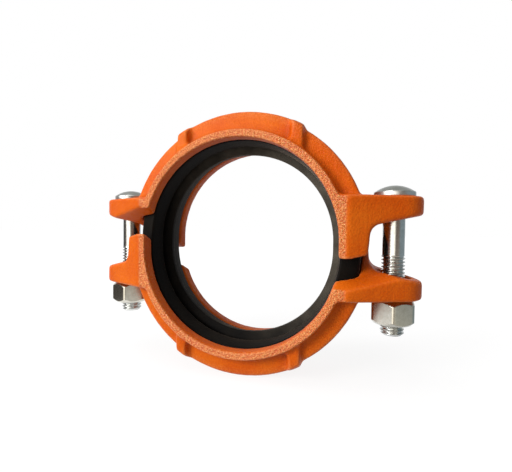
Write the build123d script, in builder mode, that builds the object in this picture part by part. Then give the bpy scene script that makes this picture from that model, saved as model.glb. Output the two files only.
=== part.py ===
"""Grooved pipe coupling for 114.3 mm pipe, loosened and ready to slip over two pipe ends.

Two identical half housings close over a rubber gasket and are held by two oval neck
bolts with heavy hexagon nuts. X runs from bolt to bolt, Y along the pipe and Z up along
the bolts, with the origin on the pipe axis in the middle of the coupling.
All lengths are in millimetres and all angles in degrees.
"""
import os
from math import cos, radians, tan

from build123d import *

# Pipe that the coupling joins, and the groove near its end
pipe_radius = 57.15
pipe_end_gap = 4.0
gasket_seat = 15.9

# Ring of each half housing
key_clearance = 0.35
key_width = 8.1
face_height = 4.7
flange_draft = 4.0
side_wall = 3.5
crown_inset = 8.0
crown_draft = 7.0
crown_step = 1.8
pocket_depth = 11.4
pocket_taper = 3.6
ring_spread = 2.6
face_round = 1.2
valley_round = 3.2
crown_round = 1.8
pocket_round = 4.5
key_chamfer = 0.6

# Ribs that stop the raised middle of each crown
rib_outer = 37.8
rib_width = 6.6
rib_inset = 3.2
rib_draft = 3.0
rib_top_drop = 1.9

# Bolt pads, legs and ears
pad_gap = 15.2
pad_angle = 28.0
pad_edge_round = 0.7
leg_stand_out = 0.8
leg_draft = 4.5
ear_height = 27.8
ear_tip_thickness = 10.0
ear_slope = 12.5
ear_fillet = 6.0
ear_edge_round = 1.2
ear_under_round = 1.8
ear_tip_wall = 5.5

# Bolts
bolt_radius = 6.35
shank_radius = 5.85
thread_length = 43.4
bolt_gap = 6.45
bolt_end_length = 6.5
bolt_end_chamfer = 1.2
head_radius = 11.0
head_rim = 2.4
head_dome = 4.0
head_edge_round = 1.0
neck_half_length = 8.5
neck_height = 6.0
neck_width_clearance = 0.5
neck_length_clearance = 0.9

# Nuts
nut_flat_to_flat = 22.0
nut_height = 14.0
nut_chamfer_angle = 40.0
nut_bore_clearance = 0.05
nut_seat_clearance = 0.1
nut_turn_left = 43.5
nut_turn_right = 28.5

# Gasket
gasket_side_clearance = 0.3
gasket_wall = 5.4
lip_bite = 0.6
lip_draft = 1.4
lip_reach = 11.2
lip_tip_thickness = 1.7
lip_root_thickness = 3.0
lip_root_length = 5.6
stop_depth = 3.85
stop_tip_half_width = 1.9
stop_root_half_width = 2.8

# Sizes worked out from those above
key_radius = pipe_radius + key_clearance
pocket_half_width = gasket_seat + pipe_end_gap / 2
half_width = pocket_half_width + key_width
face_radius = key_radius + face_height
pocket_radius = key_radius + pocket_depth
outer_radius = pocket_radius + side_wall
crown_radius = outer_radius + crown_step
crown_half_width = half_width - crown_inset
rib_half_width = half_width - rib_inset
rib_foot_round = rib_inset - face_round / 2
pad_face_edge = face_radius + ear_edge_round / 2
leg_face = outer_radius + leg_stand_out
bolt_offset = leg_face + bolt_gap + shank_radius
slot_half_width = bolt_radius + neck_width_clearance
slot_half_length = neck_half_length + neck_length_clearance
ear_tip_radius = slot_half_length + ear_tip_wall
ear_tip = bolt_offset + ear_tip_radius
pad_drop = half_width * tan(radians(pad_angle)) + pad_gap
past_part = 2 * half_width
gasket_radius = pocket_radius - gasket_side_clearance
gasket_half_width = pocket_half_width - gasket_side_clearance
gasket_spread = ring_spread - gasket_side_clearance
gasket_inner_wall = gasket_radius - gasket_wall
bolt_length = 2 * ear_height + nut_seat_clearance + nut_height + bolt_end_length

ring_axis = Axis((0, 0, ring_spread), (0, 1, 0))
ring_plane = Plane.XY.offset(ring_spread)


def both_sides(front_half):
    """Close a section outline by repeating its front half, front to back, behind y = 0."""
    return front_half + [(radius, -y) for radius, y in reversed(front_half)]


def half_ring(section, plane_axis, mode=Mode.ADD):
    """Turn a section half a revolution over the top of the coupling."""
    revolve(section, axis=plane_axis, revolution_arc=-180, mode=mode)


# Section of the ring: key face, flange, valley and crown
valley_radius = face_radius + (half_width - crown_half_width) * tan(radians(flange_draft))
valley_half_width = crown_half_width + (outer_radius - valley_radius) * tan(radians(crown_draft))
with BuildSketch(ring_plane) as ring_section:
    with BuildLine():
        FilletPolyline(
            both_sides(
                [
                    (key_radius - key_chamfer, -half_width),
                    (face_radius, -half_width),
                    (valley_radius, -valley_half_width),
                    (outer_radius, -crown_half_width),
                ]
            ),
            radius=[0, face_round, valley_round, crown_round, crown_round, valley_round, face_round, 0],
            close=True,
        )
    make_face()

# Section of the raised middle of the crown, between the ribs
with BuildSketch(ring_plane) as crown_section:
    with BuildLine():
        FilletPolyline(
            both_sides(
                [
                    (pocket_radius + side_wall / 2, -crown_half_width),
                    (crown_radius, -crown_half_width + crown_step * tan(radians(crown_draft))),
                ]
            ),
            radius=[0, crown_round, crown_round, 0],
            close=True,
        )
    make_face()

# Section of a rib, which bridges the valley on both sides of the crown
rib_foot_radius = face_radius - face_round / 2
rib_top_radius = crown_radius - rib_top_drop
rib_top_half_width = rib_half_width - (rib_top_radius - rib_foot_radius) * tan(radians(rib_draft))
with BuildSketch(ring_plane) as rib_section:
    with BuildLine():
        FilletPolyline(
            both_sides(
                [
                    (face_radius - face_round, -half_width + face_round / 2),
                    (rib_foot_radius, -half_width + face_round / 2),
                    (rib_foot_radius, -rib_half_width),
                    (rib_top_radius, -rib_top_half_width),
                    (crown_radius, -crown_half_width),
                ]
            ),
            radius=[0, 0, rib_foot_round, crown_round, 0, 0, crown_round, rib_foot_round, 0, 0],
            close=True,
        )
    make_face()

# Section of the space inside: bore, key corners and gasket pocket
with BuildSketch(ring_plane) as space_section:
    with BuildLine():
        FilletPolyline(
            both_sides(
                [
                    (0, -half_width - key_chamfer),
                    (key_radius + 2 * key_chamfer, -half_width - key_chamfer),
                    (key_radius, -half_width + key_chamfer),
                    (key_radius, -pocket_half_width),
                    (pocket_radius, -pocket_half_width + pocket_taper),
                ]
            ),
            radius=[0, 0, key_chamfer, face_round / 2, pocket_round, pocket_round, face_round / 2, key_chamfer, 0, 0],
            close=True,
        )
    make_face()

# Raised crown and ribs, cut to their widths across the coupling
with BuildPart() as crown:
    half_ring(crown_section.sketch, ring_axis)
    with BuildSketch(Plane.XZ):
        with Locations((0, crown_radius)):
            Rectangle(2 * rib_outer, 2 * crown_radius)
    extrude(amount=past_part, both=True, mode=Mode.INTERSECT)

with BuildPart() as ribs:
    half_ring(rib_section.sketch, ring_axis)
    with BuildSketch(Plane.XZ):
        with Locations((rib_outer - rib_width / 2, crown_radius), (rib_width / 2 - rib_outer, crown_radius)):
            Rectangle(rib_width, 2 * crown_radius)
    extrude(amount=past_part, both=True, mode=Mode.INTERSECT)

# Legs and ears: seen along the pipe, then cut to their outline seen along the bolts
pad_rise = past_part * tan(radians(pad_angle))
ear_root_height = ear_height - ear_tip_thickness - (ear_tip - leg_face) * tan(radians(ear_slope))
leg_foot = leg_face - (ear_root_height + pad_drop) * tan(radians(leg_draft))
with BuildPart() as ears:
    with BuildSketch(Plane.XZ) as ear_side:
        with BuildLine():
            FilletPolyline(
                (key_radius / 2, ear_height),
                (ear_tip + ear_edge_round, ear_height),
                (ear_tip + ear_edge_round, ear_height - ear_tip_thickness + ear_edge_round * tan(radians(ear_slope))),
                (leg_face, ear_root_height),
                (leg_foot, -pad_drop),
                (key_radius / 2, -pad_drop),
                radius=[0, 0, 0, ear_fillet, 0, 0],
                close=True,
            )
        make_face()
    extrude(amount=past_part, both=True)
    with BuildSketch(Plane.XY) as ear_plan:
        with Locations((bolt_offset, 0)):
            Circle(ear_tip_radius)
        with Locations((pad_face_edge / 2, 0)):
            Rectangle(pad_face_edge, 2 * half_width)
        make_hull()
    extrude(amount=past_part, both=True, mode=Mode.INTERSECT)
    under_ear = ears.edges().filter_by_position(Axis.Z, -pad_drop / 2, ear_height - ear_tip_thickness)
    under_ear = under_ear.filter_by_position(Axis.X, leg_foot, ear_tip)
    face_corners = ears.edges().filter_by(Axis.Z).filter_by_position(Axis.X, key_radius, leg_foot)
    top_of_ear = ears.edges().group_by(Axis.Z)[-1].filter_by_position(Axis.X, key_radius / 2, ear_tip, (False, True))
    fillet(under_ear - under_ear.filter_by(Axis.Y), ear_under_round)
    fillet(face_corners + top_of_ear, ear_edge_round)
    with BuildSketch(Plane.YZ):
        with BuildLine():
            Polyline(
                (-past_part, pad_gap / 2 - pad_rise),
                (past_part, pad_gap / 2 + pad_rise),
                (past_part, -2 * pad_drop),
                (-past_part, -2 * pad_drop),
                close=True,
            )
        make_face()
    extrude(amount=2 * ear_tip, mode=Mode.SUBTRACT)
    flat_faces = ears.faces().filter_by(GeomType.PLANE)
    pad = flat_faces.sort_by(lambda face: abs(face.normal_at().Z + cos(radians(pad_angle))))[0]
    fillet(pad.edges().filter_by_position(Axis.X, key_radius / 2, ear_tip, (False, True)), pad_edge_round)

# One half housing, made as the upper one: the ring stops inside the legs, above their pads
ring_end = pad_gap / 2 + 2 * pad_edge_round
with BuildPart() as upper_housing:
    half_ring(ring_section.sketch, ring_axis)
    add(crown.part)
    add(ribs.part)
    with BuildSketch(Plane.YZ):
        with BuildLine():
            Polyline(
                (-past_part, ring_end - pad_rise),
                (past_part, ring_end + pad_rise),
                (past_part, -2 * pad_drop),
                (-past_part, -2 * pad_drop),
                close=True,
            )
        make_face()
    extrude(amount=2 * ear_tip, mode=Mode.SUBTRACT)
    with BuildSketch(Plane.YZ):
        with BuildLine():
            Polyline(
                (-past_part, ring_end + pad_rise),
                (past_part, ring_end - pad_rise),
                (past_part, -2 * pad_drop),
                (-past_part, -2 * pad_drop),
                close=True,
            )
        make_face()
    extrude(amount=-2 * ear_tip, mode=Mode.SUBTRACT)
    add(ears.part)
    add(ears.part, rotation=(0, 0, 180))
    half_ring(space_section.sketch, ring_axis, mode=Mode.SUBTRACT)
    with BuildSketch(ring_plane) as space_both_sides:
        add(space_section.sketch)
        mirror(about=Plane.YZ)
    extrude(amount=-ring_spread - pad_drop, mode=Mode.SUBTRACT)
    with BuildSketch(Plane.XY):
        with Locations((bolt_offset, 0), (-bolt_offset, 0)):
            SlotOverall(2 * slot_half_length, 2 * slot_half_width)
    extrude(amount=2 * ear_height, mode=Mode.SUBTRACT)

# The lower half is the same casting turned half way round about the pipe axis
with BuildPart() as lower_housing:
    add(upper_housing.part, rotation=(0, 180, 0))

# Gasket section: stop in the middle, a hollow on each side and a lip under each hollow
lip_edge_radius = pipe_radius - lip_bite
lip_side_radius = lip_edge_radius + lip_draft
with BuildSketch(Plane.XY.offset(gasket_spread)) as gasket_section:
    with BuildLine():
        FilletPolyline(
            both_sides(
                [
                    (gasket_radius, -gasket_half_width + pocket_taper),
                    (lip_side_radius, -gasket_half_width),
                    (lip_edge_radius, lip_reach - gasket_half_width),
                    (lip_edge_radius + lip_tip_thickness, lip_reach - gasket_half_width),
                    (lip_side_radius + lip_root_thickness, lip_root_length - gasket_half_width),
                    (gasket_inner_wall, lip_root_length - gasket_half_width),
                    (gasket_inner_wall, -stop_root_half_width),
                    (lip_edge_radius - stop_depth, -stop_tip_half_width),
                ]
            ),
            radius=[pocket_round, 1.0, 0.6, 0.6, 1.0, 1.0, 0.8, 0.8, 0.8, 0.8, 1.0, 1.0, 0.6, 0.6, 1.0, pocket_round],
            close=True,
        )
    make_face()

with BuildPart() as gasket:
    half_ring(gasket_section.sketch, Axis((0, 0, gasket_spread), (0, 1, 0)))
    with BuildSketch(Plane.XY.offset(gasket_spread)):
        add(gasket_section.sketch)
        mirror(about=Plane.YZ)
    extrude(amount=-gasket_spread)
    mirror(about=Plane.XY)

# One bolt: domed head, oval neck in the slot of the upper ear, and shank
bolt_end = ear_height - bolt_length
thread_step = bolt_radius - shank_radius
dome_radius = (head_radius**2 + head_dome**2) / (2 * head_dome)
with BuildPart() as bolt:
    with BuildSketch(Plane.XZ) as bolt_half:
        with BuildLine():
            Polyline((0, ear_height), (head_radius, ear_height), (head_radius, ear_height + head_rim))
            RadiusArc((head_radius, ear_height + head_rim), (0, ear_height + head_rim + head_dome), -dome_radius)
            Line((0, ear_height + head_rim + head_dome), (0, ear_height))
        make_face()
        fillet(bolt_half.vertices().group_by(Axis.X)[-1], head_edge_round)
    revolve(axis=Axis.Z)
    with BuildSketch(Plane.XY.offset(ear_height)):
        SlotOverall(2 * neck_half_length, 2 * bolt_radius)
    extrude(amount=-neck_height)
    with BuildSketch(Plane.XZ):
        with BuildLine():
            Polyline(
                (0, ear_height),
                (shank_radius, ear_height),
                (shank_radius, bolt_end + thread_length + thread_step),
                (bolt_radius, bolt_end + thread_length),
                (bolt_radius, bolt_end + bolt_end_chamfer),
                (bolt_radius - bolt_end_chamfer, bolt_end),
                (0, bolt_end),
                close=True,
            )
        make_face()
    revolve(axis=Axis.Z)

with BuildPart() as bolt_left:
    with Locations((-bolt_offset, 0, 0)):
        add(bolt.part)

with BuildPart() as bolt_right:
    with Locations((bolt_offset, 0, 0)):
        add(bolt.part)

# One nut, under the lower ear, with its corners chamfered at both ends
nut_top = -ear_height - nut_seat_clearance
nut_bottom = nut_top - nut_height
nut_corner_radius = nut_flat_to_flat / 2 / cos(radians(30))
nut_corner_drop = (nut_corner_radius - nut_flat_to_flat / 2) * tan(radians(nut_chamfer_angle))
nut_past_corner = nut_corner_radius + nut_corner_drop
nut_bore_radius = bolt_radius + nut_bore_clearance
with BuildPart() as nut:
    with BuildSketch(Plane.XY.offset(nut_bottom)):
        RegularPolygon(nut_flat_to_flat / 2, 6, major_radius=False)
        Circle(nut_bore_radius, mode=Mode.SUBTRACT)
    extrude(amount=nut_height)
    with BuildSketch(Plane.XZ):
        with BuildLine():
            Polyline(
                (0, nut_bottom),
                (nut_flat_to_flat / 2, nut_bottom),
                (nut_corner_radius, nut_bottom + nut_corner_drop),
                (nut_corner_radius, nut_top - nut_corner_drop),
                (nut_flat_to_flat / 2, nut_top),
                (0, nut_top),
                close=True,
            )
        make_face()
    revolve(axis=Axis.Z, mode=Mode.INTERSECT)

with BuildPart() as nut_left:
    with Locations((-bolt_offset, 0, 0)):
        add(nut.part, rotation=(0, 0, nut_turn_left))

with BuildPart() as nut_right:
    with Locations((bolt_offset, 0, 0)):
        add(nut.part, rotation=(0, 0, nut_turn_right))

# Every piece as its own file, in place
upper_housing.part.label = "upper_housing"
lower_housing.part.label = "lower_housing"
gasket.part.label = "gasket"
bolt_left.part.label = "bolt_left"
bolt_right.part.label = "bolt_right"
nut_left.part.label = "nut_left"
nut_right.part.label = "nut_right"

os.makedirs("parts", exist_ok=True)
export_step(upper_housing.part, "parts/upper_housing.step")
export_step(lower_housing.part, "parts/lower_housing.step")
export_step(gasket.part, "parts/gasket.step")
export_step(bolt_left.part, "parts/bolt_left.step")
export_step(bolt_right.part, "parts/bolt_right.step")
export_step(nut_left.part, "parts/nut_left.step")
export_step(nut_right.part, "parts/nut_right.step")
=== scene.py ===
"""Looks of a grooved pipe coupling: two painted iron half housings, a rubber gasket between
them, and two zinc plated bolts with their nuts, on a plain white studio floor.

Everything is in metres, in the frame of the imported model: X from bolt to bolt, Y along the
pipe, Z up along the bolts. The function attach puts each piece on the body it rides on.
"""
import math

import bpy
import numpy as np
from mathutils import Matrix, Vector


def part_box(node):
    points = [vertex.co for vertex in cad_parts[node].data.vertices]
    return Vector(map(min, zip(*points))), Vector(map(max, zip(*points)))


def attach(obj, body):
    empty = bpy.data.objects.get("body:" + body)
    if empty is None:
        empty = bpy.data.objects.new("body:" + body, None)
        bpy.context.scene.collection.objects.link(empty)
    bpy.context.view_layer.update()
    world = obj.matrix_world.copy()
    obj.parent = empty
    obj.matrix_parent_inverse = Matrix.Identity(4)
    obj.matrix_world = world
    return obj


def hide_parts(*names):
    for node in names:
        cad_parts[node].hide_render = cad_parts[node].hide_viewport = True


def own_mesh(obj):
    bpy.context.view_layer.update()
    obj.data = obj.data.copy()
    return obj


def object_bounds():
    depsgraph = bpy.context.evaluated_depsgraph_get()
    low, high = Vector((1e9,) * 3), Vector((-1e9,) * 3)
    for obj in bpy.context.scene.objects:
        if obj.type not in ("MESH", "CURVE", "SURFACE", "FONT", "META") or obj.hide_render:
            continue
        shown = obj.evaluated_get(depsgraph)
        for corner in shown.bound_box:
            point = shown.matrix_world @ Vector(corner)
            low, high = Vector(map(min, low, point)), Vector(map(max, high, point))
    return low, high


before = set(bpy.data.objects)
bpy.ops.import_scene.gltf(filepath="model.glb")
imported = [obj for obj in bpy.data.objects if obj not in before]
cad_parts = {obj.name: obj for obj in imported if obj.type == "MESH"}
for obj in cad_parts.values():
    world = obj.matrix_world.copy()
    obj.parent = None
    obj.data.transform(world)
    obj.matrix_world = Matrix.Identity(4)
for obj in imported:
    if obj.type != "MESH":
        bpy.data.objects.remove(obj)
cad_low, cad_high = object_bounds()
mm = 0.001

# Half housings
# Two castings of ductile iron from one sand mould pattern, dipped in orange enamel. The mould
# leaves fillets in inner corners, rounded outer edges and a skin like orange peel; the faces
# that lie across the pipe are struck off flat, so their edges are crisp and the sand shows.
corner_fillet = 1.7 * mm
edge_round = 0.35 * mm
doubles_gap = 0.002 * mm
skin_voxel = 0.72 * mm
spare_voxels = 4
skin_swell = 0.09 * mm
skin_wave = 5.5 * mm
ring_lift = 2.6 * mm
face_struck = 1.2 * mm
face_edge = 62.4 * mm
sandy_depth, sandy_fade = 0.8 * mm, 0.7 * mm
sandy_reach = 61.5 * mm
crown_sand = 0.25
crown_foot, crown_top = 69.0 * mm, 74.2 * mm
edge_turns, hollow_turns = 2, 14
sand_lump, sand_grain = 1.8 * mm, 0.9 * mm
lump_share = 0.6
skin_bump, sand_bump = 0.28 * mm, 1.0 * mm
enamel_run = 22 * mm
grain_share = 0.8
# The crest colour is a painted highlight on the grain crests of the sand
enamel_dark, enamel_light, painted_crest_highlight = "#D35404", "#E36B0F", "#FFB264"
# Painted highlight along outer edges, painted shade in inner corners
painted_edge_highlight, painted_hollow_shade = "#FF9A58", "#9E3802"


def linear(hex_colour):
    """An sRGB hex colour as the linear red, green, blue and alpha that the shaders take."""
    parts = [int(hex_colour[i:i + 2], 16) / 255 for i in (1, 3, 5)]
    return [c / 12.92 if c <= 0.04045 else ((c + 0.055) / 1.055) ** 2.4 for c in parts] + [1.0]


def node(tree, kind, settings=None, **inputs):
    """Add one node. Settings are its properties. Inputs are its sockets, each by its name, or
    by its number where names repeat, with the value or the other node's socket that it takes."""
    made = tree.nodes.new(kind)
    for name, value in (settings or {}).items():
        setattr(made, name, value)
    for name, value in inputs.items():
        socket = made.inputs[int(name[1:])] if name[0] == "_" else made.inputs[name.replace("_", " ")]
        if isinstance(value, bpy.types.NodeSocket):
            tree.links.new(value, socket)
        else:
            socket.default_value = value
    return made


def new_material(name):
    """A material without any nodes, and its node tree."""
    material = bpy.data.materials.new(name)
    material.use_nodes = True
    material.node_tree.nodes.clear()
    return material, material.node_tree


def settle(piece):
    """Give a piece the mesh that its modifiers make, under its own name, and drop them."""
    made = piece.evaluated_get(bpy.context.evaluated_depsgraph_get())
    piece.data = bpy.data.meshes.new_from_object(made)
    piece.modifiers.clear()
    piece.data.name = piece.name


def swell(points, wavelength, seed):
    """Slow random rise and fall at each point: the mean of twelve sine waves of about one
    wavelength, each along its own random direction, so it stays between -1 and 1."""
    waves = 12
    random = np.random.default_rng(seed)
    directions = random.normal(size=(waves, 3))
    directions /= np.linalg.norm(directions, axis=1, keepdims=True)
    lengths = wavelength * random.uniform(0.7, 1.5, waves)
    phases = random.uniform(0, 2 * np.pi, waves)
    return np.sin(points @ (directions / lengths[:, None]).T * 2 * np.pi + phases).mean(axis=1)


def bend(mesh, points, normals, turns):
    """How sharply the skin bends at each vertex: how far the mean of its neighbours lies under
    it, along its normal, in voxels, then averaged with its neighbours as many times as turns
    says. Outer edges come out above 0 and inner corners below."""
    pairs = np.empty(len(mesh.edges) * 2, np.int32)
    mesh.edges.foreach_get("vertices", pairs)
    pairs = pairs.reshape(-1, 2)
    vertex, neighbour = np.concatenate([pairs, pairs[:, ::-1]]).T
    count = len(points)
    degree = np.maximum(np.bincount(vertex, minlength=count), 1)
    around = [np.bincount(vertex, points[neighbour, axis], count) / degree for axis in range(3)]
    value = ((points - np.stack(around, axis=1)) * normals).sum(1) / skin_voxel
    for _ in range(turns):
        value = (value + np.bincount(vertex, value[neighbour], count) / degree) / 2
    return value


def casting(name, cad_node, seed):
    """The casting of one half: the solid offset out and in by the fillet radius, which leaves
    a fillet of that radius in each inner corner, then in and out by the edge radius, which
    rounds each outer edge. Each offset is a level of the solid's distance field on a grid."""
    piece = bpy.data.objects.new(name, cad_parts[cad_node].data.copy())
    bpy.context.scene.collection.objects.link(piece)
    merge = piece.modifiers.new("merge", "WELD")
    merge.merge_threshold = doubles_gap
    tree = bpy.data.node_groups.new("offsets_" + name, "GeometryNodeTree")
    for side in ("INPUT", "OUTPUT"):
        tree.interface.new_socket("Geometry", in_out=side, socket_type="NodeSocketGeometry")
    skin = node(tree, "NodeGroupInput").outputs[0]
    for offset in (corner_fillet, -corner_fillet, -edge_round, edge_round):
        band = int(abs(offset) / skin_voxel) + spare_voxels
        field = node(tree, "GeometryNodeMeshToSDFGrid", Mesh=skin, Voxel_Size=skin_voxel, Band_Width=band)
        grid = field.outputs["SDF Grid"]
        level = node(tree, "GeometryNodeGridToMesh", Grid=grid, Threshold=offset, Adaptivity=0.0)
        skin = level.outputs["Mesh"]
    node(tree, "NodeGroupOutput", Geometry=skin)
    piece.modifiers.new("offsets", "NODES").node_group = tree
    settle(piece)
    shaped = piece.data
    points, normals = np.empty((2, len(shaped.vertices) * 3), np.float32)
    shaped.vertices.foreach_get("co", points)
    shaped.vertex_normals.foreach_get("vector", normals)
    points, normals = points.reshape(-1, 3), normals.reshape(-1, 3)
    # How sharply the skin bends says where outer edges get painted highlight and inner corners painted
    # shade
    readings = {
        "edge": bend(shaped, points, normals, edge_turns),
        "hollow": bend(shaped, points, normals, hollow_turns),
    }
    # The skin rises and falls along its normals, on the whole a little inside the solid
    rise = swell(points, skin_wave, seed) * skin_swell - skin_swell / 2
    points += normals * rise[:, None]
    # The faces are struck off: their skin is drawn out past the solid's box and cut off there
    from_axis = np.hypot(points[:, 0], np.abs(points[:, 2]) - ring_lift)
    beyond = np.maximum(np.abs(points[:, 1]) - (cad_high.y - face_struck), 0)
    points[:, 1] += np.sign(points[:, 1]) * beyond * (from_axis < face_edge)
    points = np.clip(points, np.array(cad_low), np.array(cad_high))
    shaped.vertices.foreach_set("co", points.astype(np.float32).ravel())
    shaped.shade_smooth()
    # Sand stands deepest in these faces, and shows a little on top of the crown behind them; it also says
    # where grain crests get their painted highlight
    crown = crown_sand * np.clip((from_axis - crown_foot) / (crown_top - crown_foot), 0, 1)
    sand = np.maximum((np.abs(points[:, 1]) - (cad_high.y - sandy_depth)) / sandy_fade, crown)
    sand = np.minimum(sand, (sandy_reach - np.abs(points[:, 0])) / mm)
    readings["sand"] = np.clip(sand, 0, 1)
    for reading, value in readings.items():
        attribute = shaped.attributes.new(reading, "FLOAT", "POINT")
        attribute.data.foreach_set("value", value.astype(np.float32))
    shaped.update()
    return piece


def painted_iron():
    """Orange enamel dipped over sand cast iron: a skin of low gloss that follows the sand under
    it, lumps that carry finer grains as on the real face, deep on the faces that lie across the
    pipe and faint elsewhere. The crests of the grains on the sand and the outer edges are
    painted lighter, a painted highlight, and inner corners are painted darker, a painted shade."""
    material, tree = new_material("painted_cast_iron")
    place = node(tree, "ShaderNodeTexCoord").outputs["Object"]
    sand = node(tree, "ShaderNodeAttribute", {"attribute_name": "sand"}).outputs["Fac"]
    noises = [
        node(tree, "ShaderNodeTexNoise", Vector=place, Scale=1 / size, Detail=detail, Roughness=rough)
        for size, detail, rough in ((sand_lump, 1.0, 0.5), (sand_grain, 3.0, 0.6), (enamel_run, 3.0, 0.5))
    ]
    lumps, grains, runs = [noise.outputs["Fac"] for noise in noises]
    height = node(
        tree, "ShaderNodeMath", {"operation": "MULTIPLY_ADD"}, _0=lumps, _1=lump_share, _2=grains
    )
    depth = node(tree, "ShaderNodeMapRange", Value=sand, To_Min=skin_bump, To_Max=sand_bump)
    bump = node(tree, "ShaderNodeBump", Distance=depth.outputs[0], Height=height.outputs[0])
    mottle = node(
        tree, "ShaderNodeMath", {"operation": "MULTIPLY_ADD"}, _0=grains, _1=grain_share, _2=runs
    )
    patches = node(tree, "ShaderNodeMapRange", Value=mottle.outputs[0], From_Min=0.7, From_Max=1.1)
    # Painted highlight: the crests of the grains on the sand are painted a lighter tone
    crests = node(tree, "ShaderNodeMapRange", Value=grains, From_Min=0.44, From_Max=0.68)
    painted_crest_cover = node(tree, "ShaderNodeMath", {"operation": "MULTIPLY"}, _0=crests.outputs[0], _1=sand)
    layers = [(patches.outputs[0], enamel_light), (painted_crest_cover.outputs[0], painted_crest_highlight)]
    # Outer edges get a painted highlight and inner corners a painted shade, by how the skin bends
    for reading, start, end, share, colour in (
        ("edge", 0.04, 0.14, 0.45, painted_edge_highlight),
        ("hollow", -0.008, -0.05, 0.55, painted_hollow_shade),
    ):
        value = node(tree, "ShaderNodeAttribute", {"attribute_name": reading}).outputs["Fac"]
        cover = node(tree, "ShaderNodeMapRange", Value=value, From_Min=start, From_Max=end, To_Max=share)
        layers.append((cover.outputs[0], colour))
    tone = linear(enamel_dark)
    for cover, colour in layers:
        layer = node(tree, "ShaderNodeMix", {"data_type": "RGBA"}, Factor=cover, A=tone, B=linear(colour))
        tone = layer.outputs["Result"]
    gloss = node(tree, "ShaderNodeMapRange", Value=sand, To_Min=0.12, To_Max=0.65)
    shader = node(
        tree, "ShaderNodeBsdfPrincipled",
        Base_Color=tone, Roughness=0.42, Specular_IOR_Level=gloss.outputs[0], Normal=bump.outputs[0],
    )
    node(tree, "ShaderNodeOutputMaterial", Surface=shader.outputs[0])
    return material


paint = painted_iron()
for casting_name, cad_name, body, seed in (
    ("upper_casting", "upper_housing", "upper_half", 3),
    ("lower_casting", "lower_housing", "lower_half", 8),
):
    half = casting(casting_name, cad_name, seed)
    half.data.materials.clear()
    half.data.materials.append(paint)
    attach(half, body)
    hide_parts(cad_name)

# Gasket
# One ring of black rubber, moulded with a deep channel behind each lip. The pipe presses the
# lips open, and the stop between them keeps the two pipe ends apart. It lies loose in the
# pocket of the housings, which squash it as they close; here it keeps its loose shape and
# rides with the lower half.
pipe_radius = 57.15 * mm
gasket_low, gasket_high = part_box("gasket")
gasket_outer = gasket_high.x
gasket_spread = gasket_high.z - gasket_high.x
gasket_half = gasket_high.y
gasket_shoulder = 3.6 * mm
outer_wall, side_wall = 5.4 * mm, 5.6 * mm
lip_bite = 0.6 * mm
lip_edge = pipe_radius - lip_bite
lip_length, lip_flare = 11.2 * mm, 1.4 * mm
lip_tip, lip_root = 1.7 * mm, 4.4 * mm
stop_height, stop_root, stop_tip = 3.85 * mm, 2.8 * mm, 1.9 * mm
gasket_corner_steps = 6
gasket_columns = 121
rubber_black, rubber_bloom, rubber_sheen = "#060505", "#16130F", "#A89684"
bloom_patch = 9 * mm
rubber_grain, rubber_bump = 0.9 * mm, 0.15 * mm
# Grey dust on the pipe stop; towards the top right it is painted stronger, a painted highlight
stop_dust_and_sheen = "#6E675B"
dust_begin, dust_full = 3.4 * mm, 2.9 * mm
lit_side_way = (0.7, 0.0, 0.5)
lit_side_begin, lit_side_full = -30 * mm, 35 * mm


def rounded_outline(corners, radii, steps):
    """A closed outline through straight runs, with an arc of the given radius in each corner.
    The arc's centre lies on the corner's bisector at radius / sin(half the corner angle)."""
    before = np.roll(corners, 1, axis=0) - corners
    after = np.roll(corners, -1, axis=0) - corners
    before /= np.linalg.norm(before, axis=1, keepdims=True)
    after /= np.linalg.norm(after, axis=1, keepdims=True)
    half_angle = np.arccos(np.clip((before * after).sum(1), -1, 1)) / 2
    bisector = before + after
    bisector /= np.linalg.norm(bisector, axis=1, keepdims=True)
    centres = corners + bisector * (radii / np.sin(half_angle))[:, None]
    cross = before[:, 0] * after[:, 1] - before[:, 1] * after[:, 0]
    start = corners + before * (radii / np.tan(half_angle))[:, None] - centres
    sweep = -np.sign(cross) * (np.pi - 2 * half_angle)
    angle = sweep[:, None] * np.linspace(0, 1, steps)
    x = start[:, 0, None] * np.cos(angle) - start[:, 1, None] * np.sin(angle) + centres[:, 0, None]
    y = start[:, 0, None] * np.sin(angle) + start[:, 1, None] * np.cos(angle) + centres[:, 1, None]
    return np.stack([x.ravel(), y.ravel()], axis=1)


def surface(name, grid, close_rows):
    """A piece from a grid of points: rows follow the profile and close on themselves if
    close_rows says so, columns always close. An open grid ends in a point at both ends."""
    rows, columns = grid.shape[:2]
    row = np.arange(rows if close_rows else rows - 1)[:, None]
    column = np.arange(columns)[None, :]
    next_row, next_column = (row + 1) % rows, (column + 1) % columns
    corners = [
        row * columns + column,
        row * columns + next_column,
        next_row * columns + next_column,
        next_row * columns + column,
    ]
    mesh = bpy.data.meshes.new(name)
    mesh.from_pydata(grid.reshape(-1, 3), [], np.stack(corners, axis=-1).reshape(-1, 4))
    piece = bpy.data.objects.new(name, mesh)
    bpy.context.scene.collection.objects.link(piece)
    weld = piece.modifiers.new("weld", "WELD")
    weld.merge_threshold = 0.001 * mm
    settle(piece)
    piece.data.shade_smooth()
    return piece


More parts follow.
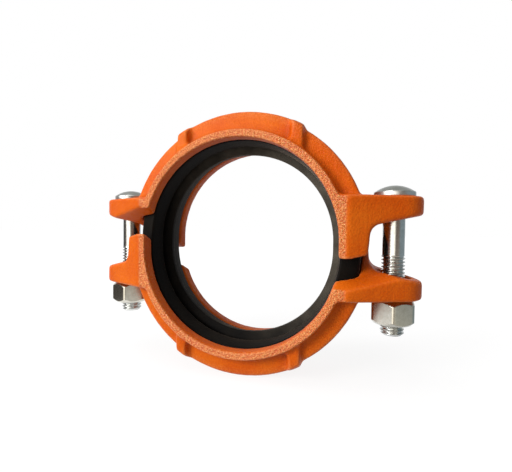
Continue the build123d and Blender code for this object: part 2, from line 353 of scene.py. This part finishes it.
# Each corner of the section: distance from the pipe axis, place along it, and rounding
front_corners = [
    (gasket_outer, -gasket_half + gasket_shoulder, 4.5 * mm),
    (lip_edge + lip_flare, -gasket_half, 1.0 * mm),
    (lip_edge, -gasket_half + lip_length, 0.6 * mm),
    (lip_edge + lip_tip, -gasket_half + lip_length, 0.6 * mm),
    (lip_edge + lip_root, -gasket_half + side_wall, 1.0 * mm),
    (gasket_outer - outer_wall, -gasket_half + side_wall, 1.0 * mm),
    (gasket_outer - outer_wall, -stop_root, 0.8 * mm),
    (lip_edge - stop_height, -stop_tip, 0.8 * mm),
]
rear_corners = [(distance, -along, rounding) for distance, along, rounding in reversed(front_corners)]
gasket_corners = np.array(front_corners + rear_corners)
outline = rounded_outline(gasket_corners[:, :2], gasket_corners[:, 2], gasket_corner_steps)
radius, along = outline[:, 0, None], outline[:, 1, None]
# Loose, the ring is an oval: two half circles, one raised and one lowered by the spread
half_circle = np.linspace(0, np.pi, gasket_columns)
around = np.concatenate([half_circle, half_circle + np.pi])
lift = np.repeat([gasket_spread, -gasket_spread], gasket_columns)
gasket_x, gasket_z = radius * np.cos(around), radius * np.sin(around) + lift
gasket_grid = np.stack([gasket_x, np.broadcast_to(along, gasket_x.shape), gasket_z], axis=-1)
gasket = surface("gasket_ring", gasket_grid, True)


def rubber():
    """Moulded black rubber: carbon black, dull, with a faint brown bloom, which shows as a dusty
    sheen where the surface is seen at a low angle, and the grain of the mould, drawn coarser
    than it is so that it shows. The pipe stop in the middle carries grey dust, painted
    stronger towards the top right as a painted highlight, where the key light falls on it."""
    material, tree = new_material("moulded_rubber")
    place = node(tree, "ShaderNodeTexCoord").outputs["Object"]
    bloom = node(tree, "ShaderNodeTexNoise", Vector=place, Scale=1 / bloom_patch, Detail=4.0).outputs["Fac"]
    grain = node(tree, "ShaderNodeTexNoise", Vector=place, Scale=1 / rubber_grain, Detail=2.0)
    patches = node(tree, "ShaderNodeMapRange", Value=bloom, From_Min=0.35, From_Max=0.75)
    along = node(tree, "ShaderNodeSeparateXYZ", Vector=place).outputs["Y"]
    along = node(tree, "ShaderNodeMath", {"operation": "ABSOLUTE"}, _0=along).outputs[0]
    stop = node(tree, "ShaderNodeMapRange", Value=along, From_Min=dust_begin, From_Max=dust_full)
    lit_side = node(tree, "ShaderNodeVectorMath", {"operation": "DOT_PRODUCT"}, _0=place, _1=lit_side_way)
    lit_side = node(
        tree, "ShaderNodeMapRange",
        Value=lit_side.outputs["Value"], From_Min=lit_side_begin, From_Max=lit_side_full,
    )
    # Dust on the stop, painted stronger towards the top right as a painted highlight
    dust_and_sheen = stop.outputs[0]
    for share in (lit_side.outputs[0], bloom):
        dust_and_sheen = node(tree, "ShaderNodeMath", {"operation": "MULTIPLY"}, _0=dust_and_sheen, _1=share).outputs[0]
    tone = linear(rubber_black)
    for cover, colour in ((patches.outputs[0], rubber_bloom), (dust_and_sheen, stop_dust_and_sheen)):
        layer = node(tree, "ShaderNodeMix", {"data_type": "RGBA"}, Factor=cover, A=tone, B=linear(colour))
        tone = layer.outputs["Result"]
    rough = node(tree, "ShaderNodeMapRange", Value=bloom, To_Min=0.55, To_Max=0.7)
    bump = node(tree, "ShaderNodeBump", Distance=rubber_bump, Height=grain.outputs["Fac"])
    shader = node(
        tree, "ShaderNodeBsdfPrincipled",
        Base_Color=tone, Roughness=rough.outputs[0], Specular_IOR_Level=0.08, Normal=bump.outputs[0],
        Sheen_Weight=0.6, Sheen_Roughness=0.3, Sheen_Tint=linear(rubber_sheen),
    )
    node(tree, "ShaderNodeOutputMaterial", Surface=shader.outputs[0])
    return material


gasket.data.materials.append(rubber())
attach(gasket, "lower_half")
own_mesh(gasket)
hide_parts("gasket")

# Bolts
# Track bolts of forged steel, zinc plated: a shallow domed head, an oval neck that keeps the
# bolt from turning in the oval hole of the ear, and a rolled 1/2 inch thread, thicker than
# its shank because rolling raises the crests.
thread_pitch = 1.954 * mm
thread_depth = 1.15 * mm
thread_start = -5.0 * mm
thread_lead, thread_fade = 0.9 * mm, 1.6 * mm
crest_lead = 1.6
bolt_radius = 6.35 * mm
shank_radius = 5.85 * mm
point_cut = 1.3 * mm
dome_rise = 4.0 * mm
dome_inset = 0.9 * mm
rim_top_round, rim_foot_round = 1.0 * mm, 0.5 * mm
rim_top_begin, rim_foot_begin = 0.35, np.pi / 2 + 0.2
rim_foot = 0.9 * mm
head_underside = 27.8 * mm
neck_half_length = 8.5 * mm
neck_taper, neck_taper_share = 0.6 * mm, 0.97
neck_end = 21.8 * mm
bolt_columns = 96
shank_rows, bolt_rows_per_pitch = 24, 14
shank_rows_end, thread_rows_begin = thread_start + 1.6 * mm, thread_start + 1.5 * mm
point_gap = 0.2 * mm
zinc_patch = 4 * mm
dulled_rougher, forged_rougher = 0.05, 0.16


def thread_cut(phase):
    """Depth of a rolled thread from crest, 0, to root, 1, over one pitch of phase: a ramp
    between a narrow flat on the crest and a wider one at the root, mixed with the smooth step
    between them, which rounds the corners."""
    crest_flat, flank, smooth_share = 0.12, 0.66, 0.35
    ramp = np.clip((1 - np.abs(2 * (phase % 1.0) - 1) - crest_flat) / flank, 0, 1)
    return ramp * ramp * (3 - 2 * ramp) * smooth_share + ramp * (1 - smooth_share)


def arc(distance, height, radius, start, end, steps):
    """An arc of a turned profile, as distances from the axis and heights: the arc's centre plus
    its radius times the sine and cosine of each angle, counted from straight up."""
    angle = np.linspace(start, end, steps)
    return np.stack([distance + radius * np.sin(angle), height + radius * np.cos(angle)], axis=1)


def turned(centre, radii, heights, turn):
    """Points of a turned piece on an upright axis: each row of radii, at its height, goes round
    through the angles of turn. Rows that go down the outside come back in reverse, so that the
    faces between them point outwards."""
    x, y = centre + radii * np.cos(turn), radii * np.sin(turn)
    return np.stack([x, y, np.broadcast_to(heights[:, None], x.shape)], axis=-1)[::-1]


def bolt_grid(centre):
    """Points of one bolt: rows from the top of the dome to the point, columns round it. The
    two bolts are alike, so the left one gives the sizes of both."""
    low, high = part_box("bolt_left")
    turn = np.linspace(0, 2 * np.pi, bolt_columns, endpoint=False)
    # Head: a dome whose radius follows from its rise, a rolled rim and a flat underside
    rim = (high.x - low.x) / 2
    dome = (rim**2 + dome_rise**2) / (2 * dome_rise)
    top = arc(0, high.z - dome, dome, 0, math.asin((rim - dome_inset) / dome), steps=16)
    rim_top = top[-1, 1] - rim_top_round
    rim_bottom = head_underside + rim_foot_round
    head = np.concatenate([
        top,
        arc(rim - rim_top_round, rim_top, rim_top_round, rim_top_begin, np.pi / 2, steps=6),
        [(rim, head_underside + rim_foot)],
        arc(rim - rim_foot_round, rim_bottom, rim_foot_round, rim_foot_begin, np.pi, steps=5),
    ])
    # Neck: the outline of two circles whose middles are set apart, tapered at its end
    offset = neck_half_length - bolt_radius
    oval = offset * np.abs(np.cos(turn)) + np.sqrt(bolt_radius**2 - (offset * np.sin(turn)) ** 2)
    neck_heights = [head_underside, neck_end + neck_taper, neck_end]
    # Shank, and the thread down to the chamfered point
    rows = np.concatenate([
        np.linspace(neck_end, shank_rows_end, shank_rows),
        np.arange(thread_rows_begin, low.z + point_gap, -thread_pitch / bolt_rows_per_pitch),
        [low.z],
    ])
    phase = rows[:, None] / thread_pitch - turn / (2 * np.pi)
    fade = np.clip((thread_start + thread_lead - rows) / thread_fade, 0, 1)[:, None]
    crest = shank_radius + (bolt_radius - shank_radius) * np.clip(fade * crest_lead, 0, 1)
    thread = crest - thread_depth * thread_cut(phase) * fade
    point = bolt_radius - point_cut + (rows - low.z)[:, None]
    pole = np.zeros((1, bolt_columns))
    head_radii = np.broadcast_to(head[:, 0, None], (len(head), bolt_columns))
    neck_radii = np.stack([oval, oval, oval * neck_taper_share])
    radii = np.concatenate([pole, head_radii, neck_radii, np.minimum(thread, point), pole])
    heights = np.concatenate([[high.z], head[:, 1], neck_heights, rows, [low.z]])
    return turned(centre, radii, heights, turn)


def zinc(name, bright, dull, roughness):
    """Bright zinc plate over steel: near white metal, a little greyer and rougher in patches
    where the plate has dulled, and rougher still on a forged head, above its underside."""
    material, tree = new_material(name)
    place = node(tree, "ShaderNodeTexCoord").outputs["Object"]
    bloom = node(
        tree, "ShaderNodeTexNoise", Vector=place, Scale=1 / zinc_patch, Detail=6.0, Roughness=0.7
    ).outputs["Fac"]
    patches = node(tree, "ShaderNodeMapRange", Value=bloom, From_Min=0.3, From_Max=0.7).outputs[0]
    tone = node(
        tree, "ShaderNodeMix", {"data_type": "RGBA"}, Factor=patches, A=linear(dull), B=linear(bright)
    ).outputs["Result"]
    rough = node(
        tree, "ShaderNodeMapRange",
        Value=bloom, From_Min=0.3, From_Max=0.7, To_Min=roughness + dulled_rougher, To_Max=roughness,
    ).outputs[0]
    height = node(tree, "ShaderNodeSeparateXYZ", Vector=place).outputs["Z"]
    forged = node(
        tree, "ShaderNodeMapRange",
        Value=height, From_Min=head_underside - mm, From_Max=head_underside, To_Max=forged_rougher,
    ).outputs[0]
    rough = node(tree, "ShaderNodeMath", {"operation": "ADD"}, _0=rough, _1=forged).outputs[0]
    shader = node(tree, "ShaderNodeBsdfPrincipled", Base_Color=tone, Metallic=1.0, Roughness=rough)
    node(tree, "ShaderNodeOutputMaterial", Surface=shader.outputs[0])
    return material


bolt_zinc = zinc("zinc_plated_rolled_steel", "#D2D4D2", "#B9BBB8", 0.2)
for bolt_name in ("bolt_left", "bolt_right"):
    low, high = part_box(bolt_name)
    piece = surface("track_" + bolt_name, bolt_grid((low.x + high.x) / 2), False)
    piece.data.materials.append(bolt_zinc)
    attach(piece, "upper_half")
    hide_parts(bolt_name)

# Nuts
# Heavy hexagon nuts of steel, hot forged, tapped and zinc plated, turned to a cone at both
# ends, deeper at the end that bears on the ear. They stand under the lower ears, each turned
# as it happened to stop.
nut_flats = 22.0 * mm
nut_corner_round = 0.35 * mm
nut_chamfer = math.radians(44)
nut_face_up, nut_face_down = 9.3 * mm, 10.2 * mm
nut_bore = 6.42 * mm
nut_thread_depth = 0.75 * mm
nut_countersink = 0.9 * mm
nut_columns = 144
nut_rows_per_pitch = 12
nut_face_rings = np.array([0.99, 0.9, 0.82])


def nut_grid(cad_node, stopped):
    """Points of one nut: rows go down the outside, in under it, up the threaded bore and out
    over the top; columns go round it. The outside is a hexagon cut by a cone at each end, and
    the whole nut stands turned by the angle where it stopped."""
    low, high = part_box(cad_node)
    turn = np.linspace(0, 2 * np.pi, nut_columns, endpoint=False)
    flat = nut_flats / 2
    corner = flat / math.cos(math.pi / 6)
    hexagon = flat / np.cos((turn % (np.pi / 3)) - np.pi / 6)
    hexagon = np.minimum(hexagon, corner - nut_corner_round)
    # Rows lie close together over the height of the deeper cone, and wide apart below it
    cone = (corner - nut_face_up) * math.tan(nut_chamfer)
    from_end = np.concatenate([
        np.linspace(0, 1.02 * cone, 30),
        np.linspace(1.2 * cone, (high.z - low.z) / 2, 4),
    ])
    slope = from_end[:, None] / math.tan(nut_chamfer)
    upper_side = np.minimum(hexagon, nut_face_up + slope)
    lower_side = np.minimum(hexagon, nut_face_down + slope)[-2::-1]
    face = nut_face_rings[:, None] * np.ones(nut_columns)
    bore_heights = np.arange(low.z, high.z, thread_pitch / nut_rows_per_pitch)
    phase = bore_heights[:, None] / thread_pitch - turn / (2 * np.pi)
    bore = nut_bore + nut_thread_depth * thread_cut(phase)
    ends = np.minimum(bore_heights - low.z, high.z - bore_heights)[:, None]
    bore = np.maximum(bore, nut_bore + nut_countersink - ends)
    radii = np.concatenate([
        upper_side, lower_side, face * nut_face_down, bore, face[::-1] * nut_face_up,
    ])
    heights = np.concatenate([
        high.z - from_end, (low.z + from_end)[-2::-1],
        np.full(len(face), low.z), bore_heights, np.full(len(face), high.z),
    ])
    return turned((low.x + high.x) / 2, radii, heights, turn + math.radians(stopped))


nut_zinc = zinc("zinc_plated_forged_steel", "#C9C7BE", "#B4B1A6", 0.22)
for nut_name, stopped in (("nut_left", 43.5), ("nut_right", 28.5)):
    piece = surface("hexagon_" + nut_name, nut_grid(nut_name, stopped), True)
    piece.data.materials.append(nut_zinc)
    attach(piece, nut_name)
    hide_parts(nut_name)

# Studio
# A white sweep that the camera sees as pure white, with the coupling's soft shadow on it. Its
# glow grows away from the coupling, so the far floor and the wall behind it meet without a line.
# Metal mirrors it only near the coupling; past that its mirror rays go on to the room.
floor_level = cad_low.z - 0.2 * mm
floor_size = 8.0
floor_grey = (0.16, 0.16, 0.16, 1.0)
glow_begin, glow_end = 0.1, 0.6
glow_near, glow_far = 0.88, 1.0
mirrored_middle = (-0.06, -0.03, 0.0)
mirrored_full, mirrored_none = 0.09, 0.17
glossy_glow, diffuse_glow = 1.4, 0.3
bpy.ops.mesh.primitive_plane_add(size=floor_size, location=(0, 0, floor_level))
floor = bpy.context.object
floor.name = "floor"
floor_material, tree = new_material("white_sweep")
rays = node(tree, "ShaderNodeLightPath").outputs
place = node(tree, "ShaderNodeTexCoord").outputs["Object"]
away = node(tree, "ShaderNodeVectorMath", {"operation": "DISTANCE"}, _0=place, _1=mirrored_middle)
unseen = node(
    tree, "ShaderNodeMapRange",
    Value=away.outputs["Value"], From_Min=mirrored_full, From_Max=mirrored_none,
).outputs[0]
unseen = node(tree, "ShaderNodeMath", {"operation": "MULTIPLY"}, _0=rays["Is Glossy Ray"], _1=unseen)
strength = rays["Is Camera Ray"]
for ray, share in (("Is Glossy Ray", glossy_glow), ("Is Diffuse Ray", diffuse_glow)):
    added = node(
        tree, "ShaderNodeMath", {"operation": "MULTIPLY_ADD"}, _0=rays[ray], _1=share, _2=strength
    )
    strength = added.outputs[0]
reach = node(tree, "ShaderNodeVectorMath", {"operation": "LENGTH"}, _0=place).outputs["Value"]
growth = node(
    tree, "ShaderNodeMapRange",
    Value=reach, From_Min=glow_begin, From_Max=glow_end, To_Min=glow_near, To_Max=glow_far,
).outputs[0]
strength = node(tree, "ShaderNodeMath", {"operation": "MULTIPLY"}, _0=strength, _1=growth).outputs[0]
matt = node(tree, "ShaderNodeBsdfDiffuse", Color=floor_grey)
glow = node(tree, "ShaderNodeEmission", Color=(1, 1, 1, 1), Strength=strength)
both = node(tree, "ShaderNodeAddShader", _0=matt.outputs[0], _1=glow.outputs[0])
clear = node(tree, "ShaderNodeBsdfTransparent")
sweep = node(tree, "ShaderNodeMixShader", Fac=unseen.outputs[0], _1=both.outputs[0], _2=clear.outputs[0])
node(tree, "ShaderNodeOutputMaterial", Surface=sweep.outputs[0])
floor.data.materials.append(floor_material)


def level_way(azimuth):
    """A level direction at an azimuth in degrees, counted from +X towards +Y."""
    return math.cos(math.radians(azimuth)), math.sin(math.radians(azimuth)), 0.0


# What glossy surfaces mirror in front of a dim room, each thing over those before it: the way
# to it, the cosines of the angles to that way where it begins and is full, and its light
dim_room = (0.2, 0.145, 0.115, 1.0)
mirrored_things = (
    ((0.0, 1.0, 0.0), -0.1, 0.5, (0.95, 0.97, 1.0, 1.0)),  # white wall behind the coupling
    (level_way(12), 0.6, 0.85, (0.3, 0.36, 0.39, 1.0)),  # grey wall at its right
    ((0.0, 0.0, 1.0), 0.3, 0.7, (0.34, 0.345, 0.32, 1.0)),  # grey ceiling
    (level_way(258), 0.86, 0.97, (2.3, 2.15, 1.9, 1.0)),  # bright window before it
    (level_way(196), 0.93, 0.97, (0.03, 0.025, 0.02, 1.0)),  # black flag at its left
    ((0.62, -0.6, -0.5), 0.89, 0.95, (0.88, 0.85, 0.74, 1.0)),  # pale card low at its right front
)
# Matt surfaces are lit more from the left front and above than from the right
fill_way = (-0.7, -0.5, 0.5)
fill_dim, fill_bright = (0.18, 0.17, 0.16, 1), (0.42, 0.42, 0.42, 1)
world = bpy.data.worlds.new("studio")
bpy.context.scene.world = world
world.use_nodes = True
tree = world.node_tree
tree.nodes.clear()
rays = node(tree, "ShaderNodeLightPath").outputs
seen = node(
    tree, "ShaderNodeMath", {"operation": "MAXIMUM"},
    _0=rays["Is Camera Ray"], _1=rays["Is Transmission Ray"],
).outputs[0]
direction = node(tree, "ShaderNodeTexCoord").outputs["Generated"]
room = dim_room
for way, begin, full, light in mirrored_things:
    cosine = node(tree, "ShaderNodeVectorMath", {"operation": "DOT_PRODUCT"}, _0=direction, _1=way)
    cover = node(
        tree, "ShaderNodeMapRange", {"interpolation_type": "SMOOTHSTEP"},
        Value=cosine.outputs["Value"], From_Min=begin, From_Max=full,
    )
    layer = node(tree, "ShaderNodeMix", {"data_type": "RGBA"}, Factor=cover.outputs[0], A=room, B=light)
    room = layer.outputs["Result"]
side = node(tree, "ShaderNodeVectorMath", {"operation": "DOT_PRODUCT"}, _0=direction, _1=fill_way)
side = node(tree, "ShaderNodeMapRange", Value=side.outputs["Value"], From_Min=-1.0, From_Max=1.0)
colour = node(
    tree, "ShaderNodeMix", {"data_type": "RGBA"}, Factor=side.outputs[0], A=fill_dim, B=fill_bright
)
for ray, light in ((rays["Is Glossy Ray"], room), (seen, (1, 1, 1, 1))):
    under = colour.outputs["Result"]
    colour = node(tree, "ShaderNodeMix", {"data_type": "RGBA"}, Factor=ray, A=under, B=light)
sky = node(tree, "ShaderNodeBackground", Color=colour.outputs["Result"])
node(tree, "ShaderNodeOutputWorld", Surface=sky.outputs[0])


def softbox(name, place, aim, width, height, power):
    """A large rectangular lamp at a place, turned towards an aim point."""
    lamp = bpy.data.lights.new(name, "AREA")
    lamp.shape = "RECTANGLE"
    lamp.size, lamp.size_y, lamp.energy = width, height, power
    made = bpy.data.objects.new(name, lamp)
    bpy.context.scene.collection.objects.link(made)
    made.location = place
    away = np.array(place, float) - np.array(aim, float)
    tilt = math.acos(away[2] / np.linalg.norm(away))
    made.rotation_euler = (tilt, 0, math.atan2(away[1], away[0]) + math.pi / 2)


# A key light at the left front and a weak one above
softbox("key_left", (-0.68, -0.96, 0.42), (0, 0, 0), 0.55, 0.55, 13.5)
softbox("top", (-0.2, -0.3, 0.95), (0, 0, 0), 0.5, 0.5, 3.0)

# The camera that took the photograph: a wide lens close to the coupling, a little to its right
# and above, with the middle of the picture a few millimetres off the coupling's own
photo_width, focal_pixels = 512, 348.76
sensor_width = 36.0
yaw, pitch, roll = math.radians(17.27), math.radians(1.52), math.radians(0.71)
distance, across, upward = 219.21 * mm, 5.20 * mm, 4.73 * mm
ahead = np.array([-math.sin(yaw) * math.cos(pitch), math.cos(yaw) * math.cos(pitch), -math.sin(pitch)])
right = np.cross(ahead, [0, 0, 1])
right /= np.linalg.norm(right)
up = np.cross(right, ahead)
place = across * right + upward * up - distance * ahead
rolled_right = math.cos(roll) * right + math.sin(roll) * up
rolled_up = -math.sin(roll) * right + math.cos(roll) * up
camera_data = bpy.data.cameras.new("camera")
camera_data.sensor_width = sensor_width
camera_data.lens = sensor_width * focal_pixels / photo_width
camera = bpy.data.objects.new("camera", camera_data)
bpy.context.scene.collection.objects.link(camera)
matrix = np.eye(4)
matrix[:3] = np.stack([rolled_right, rolled_up, -ahead, place], axis=1)
camera.matrix_world = Matrix(matrix.tolist())
bpy.context.scene.camera = camera
bpy.context.scene.view_settings.view_transform = "Standard"
